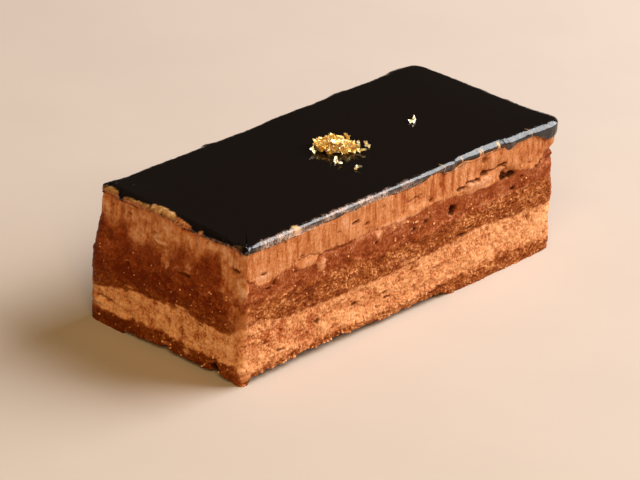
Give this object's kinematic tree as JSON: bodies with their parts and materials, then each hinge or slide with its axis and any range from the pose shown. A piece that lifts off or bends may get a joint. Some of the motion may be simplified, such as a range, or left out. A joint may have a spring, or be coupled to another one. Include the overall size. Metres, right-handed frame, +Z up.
{
  "type": "opera cake",
  "caption": "Oblong portion of opera cake: sponge, coffee cream and ganache in level layers under a black mirror glaze, topped with a tuft of gold leaf.",
  "frame": {"origin": "middle of the box's lower face, on the surface that the cake rests on", "axes": "+X along the long side, +Y across it, +Z up"},
  "size_m": [0.1136, 0.0488, 0.0374],
  "materials": {
    "sponge": "moist open crumb, matt with small wet sparkles",
    "lower_cream": "cut cream, pitted and crumbly, satin",
    "ganache": "knife-smeared ganache, satin",
    "upper_cream": "cream wiped by the knife, satin",
    "glaze": "mirror gloss",
    "gold_leaf": "crumpled bright leaf"
  },
  "bodies": {
    "root": {"base_sponge": "sponge", "lower_cream": "lower_cream", "middle_sponge": "sponge", "ganache": "ganache", "upper_cream": "upper_cream", "glaze": "glaze", "gold_leaf": "gold_leaf"}
  },
  "joints": []
}
